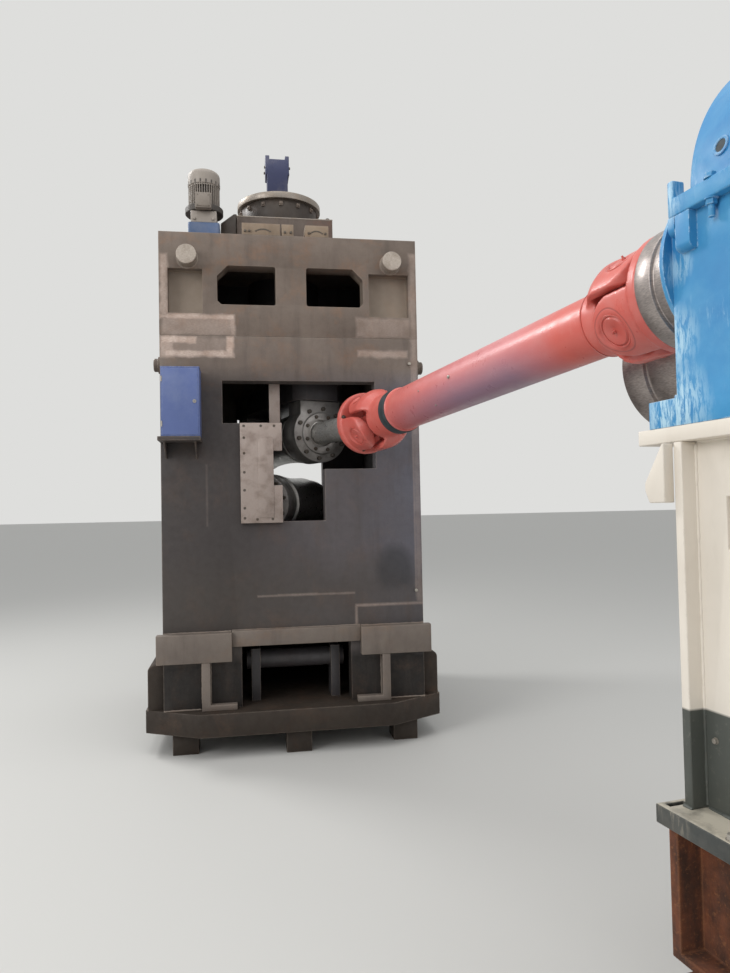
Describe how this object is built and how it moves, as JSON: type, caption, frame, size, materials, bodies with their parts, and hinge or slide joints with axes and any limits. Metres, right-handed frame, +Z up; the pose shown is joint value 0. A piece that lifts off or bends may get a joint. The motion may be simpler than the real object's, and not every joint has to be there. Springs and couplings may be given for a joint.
{
  "type": "steel bar straightening machine",
  "caption": "Two-roll straightening machine for steel bars: a tall welded stand with skewed concave rolls, screw-down gear on top, and a universal joint shaft to a gearbox on a pedestal.",
  "frame": {"origin": "on the floor under the middle of the stand, at the underside of the middle foot", "axes": "+X to the right of somebody who stands in front of the stand, +Y along the pass line of the bar away from them, +Z up"},
  "size_m": [3.5232, 6.905, 5.048],
  "materials": {
    "stand_steel": "bare steel with mill scale, matt",
    "head_steel": "bare steel with light rust, matt",
    "dark_steel": "oily dark steel",
    "machined_steel": "machined, dull",
    "guide_steel": "ground plate, slightly stained",
    "roll_steel": "ground",
    "red_paint": "semi gloss primer red",
    "seal_rubber": "matt",
    "blue_paint": "gloss",
    "cream_paint": "satin",
    "rusty_steel": "rusted",
    "box_blue": "satin",
    "reducer_blue": "satin",
    "motor_grey": "satin",
    "navy_paint": "satin"
  },
  "bodies": {
    "stand": {"base_slab": "stand_steel", "base_feet": "stand_steel", "side_wings": "stand_steel", "front_plate": "stand_steel", "rear_plate": "stand_steel", "side_walls": "stand_steel", "lower_deck": "dark_steel", "ledge_bars": "stand_steel", "corner_blocks": "stand_steel", "foot_ribs": "stand_steel", "head_front_plate": "head_steel", "head_rear_plate": "head_steel", "head_floor": "head_steel", "head_deck": "head_steel", "nut_housing": "dark_steel", "lifting_trunnions": "machined_steel", "side_stubs": "machined_steel", "guide_plate": "guide_steel", "upper_chucks": "dark_steel", "lower_chucks": "dark_steel", "upper_saddle": "dark_steel", "lower_saddle": "dark_steel", "gearbox_case": "blue_paint", "split_flange": "blue_paint", "gearbox_cover": "blue_paint", "pedestal_body": "cream_paint", "pedestal_top_plate": "cream_paint", "pedestal_base": "cream_paint", "lifting_ears": "cream_paint", "floor_beams": "rusty_steel", "upper_beams": "rusty_steel", "gear_base": "head_steel", "wheel_case": "dark_steel", "wheel_flange": "machined_steel", "seat_blocks": "head_steel", "balance_cylinder": "navy_paint", "worm_case": "head_steel", "screwdown_reducer": "reducer_blue", "screwdown_motor": "motor_grey", "motor_fan_cover": "motor_grey", "motor_terminal_box": "motor_grey", "electrical_box": "box_blue", "box_shelf": "head_steel", "adjusting_shaft": "dark_steel"},
    "upper_roll_body": {"upper_roll": "roll_steel", "roll_yoke": "red_paint"},
    "lower_roll_body": {"lower_roll": "roll_steel"},
    "cardan_body": {"cardan_shaft": "red_paint", "seal_band": "seal_rubber", "joint_crosses": "red_paint"},
    "output_body": {"output_hub": "machined_steel", "gearbox_yoke": "red_paint"},
    "second_output_body": {"second_hub": "machined_steel"}
  },
  "joints": [
    {"name": "upper_roll_spin", "type": "hinge", "parent": "stand", "child": "upper_roll_body", "pos_m": [0, 0, 2.436], "axis": [0.342, -0.9397, 0], "continuous": true},
    {"name": "cardan_spin", "type": "hinge", "parent": "stand", "child": "cardan_body", "pos_m": [0.56775, -1.55989, 2.436], "axis": [0.2348, -0.9705, 0.0546], "continuous": true},
    {"name": "output_spin", "type": "hinge", "parent": "stand", "child": "output_body", "pos_m": [1.187, -4.12, 2.58], "axis": [0.1392, -0.9903, 0], "continuous": true},
    {"name": "second_output_spin", "type": "hinge", "parent": "stand", "child": "second_output_body", "pos_m": [1.71184, -4.04624, 2.435], "axis": [0.1392, -0.9903, 0], "continuous": true},
    {"name": "lower_roll_spin", "type": "hinge", "parent": "stand", "child": "lower_roll_body", "pos_m": [0, 0, 1.866], "axis": [-0.342, -0.9397, 0], "continuous": true}
  ],
  "couplings": [
    {"joint": "cardan_spin", "follows": "upper_roll_spin", "ratio": 1},
    {"joint": "output_spin", "follows": "upper_roll_spin", "ratio": 1},
    {"joint": "second_output_spin", "follows": "upper_roll_spin", "ratio": 1}
  ]
}
